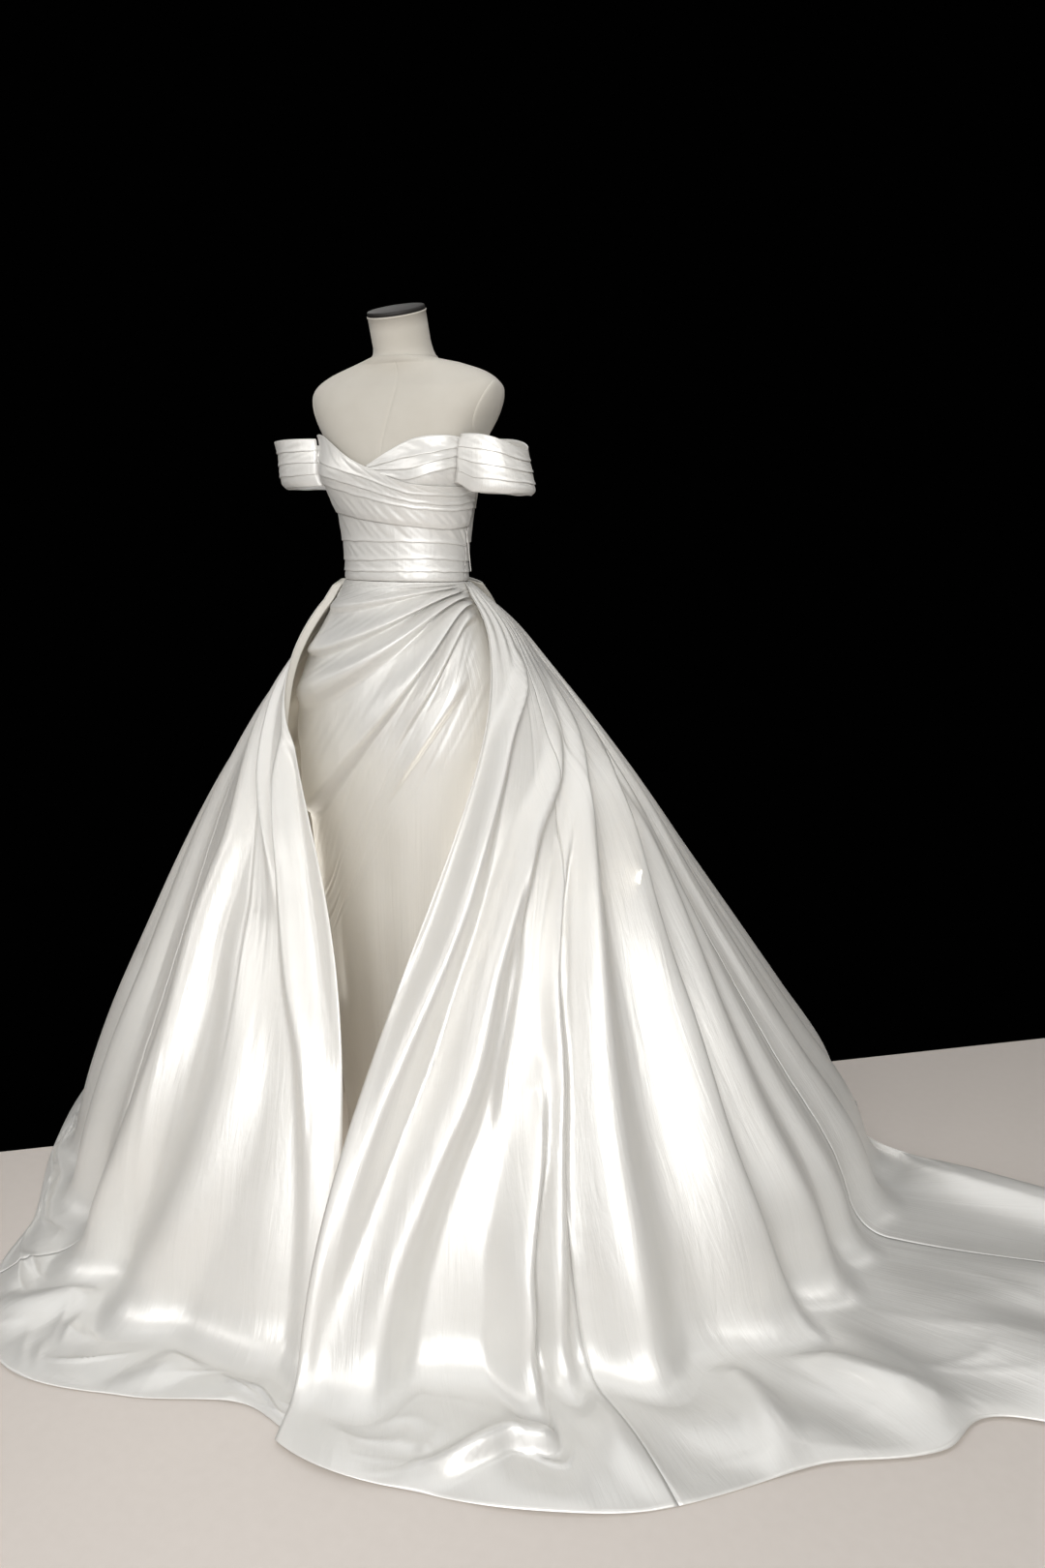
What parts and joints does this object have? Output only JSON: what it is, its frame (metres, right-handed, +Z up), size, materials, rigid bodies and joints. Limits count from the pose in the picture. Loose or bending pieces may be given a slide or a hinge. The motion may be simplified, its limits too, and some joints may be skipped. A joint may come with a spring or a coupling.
{
  "type": "wedding dress on a dress form",
  "caption": "Floor-length satin wedding dress with pleated off-shoulder bodice, draped column skirt, overskirt with train and back bow, worn by a limbless dress form on a stand.",
  "frame": {"origin": "middle of the underside of the stand's base plate", "axes": "+Z up, -Y to the front of the form, +X to the form's left side"},
  "size_m": [2.7165, 1.9144, 1.649],
  "materials": {
    "satin": "satin",
    "linen": "matte",
    "dark_cap": "satin",
    "stand_steel": "satin"
  },
  "bodies": {
    "root": {"form_body": "linen", "form_neck_cap": "dark_cap", "stand_pole": "stand_steel", "stand_base": "stand_steel", "midriff_front": "satin", "bust_wrap": "satin", "cup_left": "satin", "bodice_back_left": "satin", "bodice_back_right": "satin", "sleeve_left": "satin", "sleeve_right": "satin", "column_front": "satin", "column_back": "satin", "overskirt_right_front": "satin", "overskirt_right_side": "satin", "overskirt_back_right": "satin", "overskirt_back_left": "satin", "overskirt_train": "satin", "overskirt_left_side": "satin", "overskirt_left_front": "satin", "bow_loop_right": "satin", "bow_loop_left": "satin", "bow_knot": "satin"}
  },
  "joints": []
}
